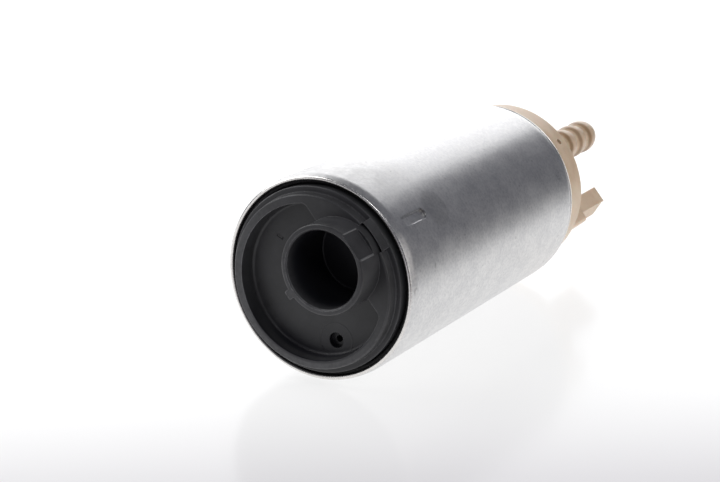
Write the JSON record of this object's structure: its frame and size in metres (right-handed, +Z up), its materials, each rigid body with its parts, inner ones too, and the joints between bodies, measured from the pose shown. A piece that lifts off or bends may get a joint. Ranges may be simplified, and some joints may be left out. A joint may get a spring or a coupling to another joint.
{
  "type": "electric fuel pump",
  "caption": "In-tank electric fuel pump: rolled steel can with a black inlet cover and collar, and a beige outlet cover with a ribbed hose nozzle and slim connector tower.",
  "frame": {"origin": "on the pump's axis, halfway along the can's cylindrical wall, where a clamp holds it", "axes": "+Y along the pump's axis from the inlet cover to the outlet nozzle, +Z up as the pump lies, with the inlet collar and the nozzle up and towards +X"},
  "size_m": [0.043, 0.1216, 0.043],
  "materials": {
    "steel_can": "matte satin zinc-plated",
    "black_moulding": "satin",
    "beige_moulding": "satin",
    "black_rubber": "matte",
    "impeller_resin": "satin",
    "hard_steel": "ground",
    "bearing_bronze": "matte sintered",
    "lamination_steel": "matte",
    "insulator_resin": "matte",
    "copper": "enamelled",
    "commutator_copper": "turned",
    "ferrite": "matte",
    "spring_steel": "satin",
    "flux_steel": "satin",
    "casing_resin": "satin",
    "holder_resin": "matte",
    "carbon": "matte",
    "tinned_brass": "satin tinned",
    "valve_brass": "turned",
    "valve_resin": "satin",
    "ball_steel": "polished"
  },
  "bodies": {
    "housing": {"housing_can": "steel_can", "inlet_cover": "black_moulding", "inlet_seal_ring": "black_rubber", "thrust_button": "hard_steel", "pump_casing": "casing_resin", "lower_bearing": "bearing_bronze", "upper_bearing": "bearing_bronze", "magnet_north": "ferrite", "magnet_south": "ferrite", "magnet_springs": "spring_steel", "flux_ring": "flux_steel", "brush_holder": "holder_resin", "brush_spring_positive": "spring_steel", "brush_spring_negative": "spring_steel", "choke_positive": "ferrite", "choke_negative": "ferrite", "terminal_positive": "tinned_brass", "terminal_negative": "tinned_brass", "outlet_cover": "beige_moulding", "outlet_seal_ring": "black_rubber", "check_valve_seat": "valve_brass", "check_valve_spring": "spring_steel", "relief_valve_seat": "valve_brass", "relief_valve_spring": "spring_steel"},
    "rotor": {"rotor_shaft": "hard_steel", "armature_core": "lamination_steel", "armature_insulators": "insulator_resin", "armature_windings": "copper", "commutator_hub": "casing_resin", "commutator_segments": "commutator_copper", "impeller": "impeller_resin"},
    "brush_a": {"brush_positive": "carbon"},
    "brush_b": {"brush_negative": "carbon"},
    "check_poppet": {"check_valve_poppet": "valve_resin"},
    "relief_ball": {"relief_valve_ball": "ball_steel"}
  },
  "joints": [
    {"name": "rotor_spin", "type": "hinge", "parent": "housing", "child": "rotor", "pos_m": [0, 0, 0], "axis": [0, 1, 0], "continuous": true},
    {"name": "brush_a_slide", "type": "slide", "parent": "housing", "child": "brush_a", "axis": [0, 1, 0], "range_m": [0, 0.0025], "stiffness_N_per_m": 60, "springref_m": -0.01, "deforming": ["brush_spring_positive"]},
    {"name": "brush_b_slide", "type": "slide", "parent": "housing", "child": "brush_b", "axis": [0, 1, 0], "range_m": [0, 0.0025], "stiffness_N_per_m": 60, "springref_m": -0.01, "deforming": ["brush_spring_negative"]},
    {"name": "check_valve_lift", "type": "slide", "parent": "housing", "child": "check_poppet", "axis": [0, 1, 0], "range_m": [0, 0.0025], "stiffness_N_per_m": 20, "springref_m": -0.004, "deforming": ["check_valve_spring"]},
    {"name": "relief_valve_lift", "type": "slide", "parent": "housing", "child": "relief_ball", "axis": [0, 1, 0], "range_m": [0, 0.0012], "stiffness_N_per_m": 30, "springref_m": -0.003, "deforming": ["relief_valve_spring"]}
  ]
}
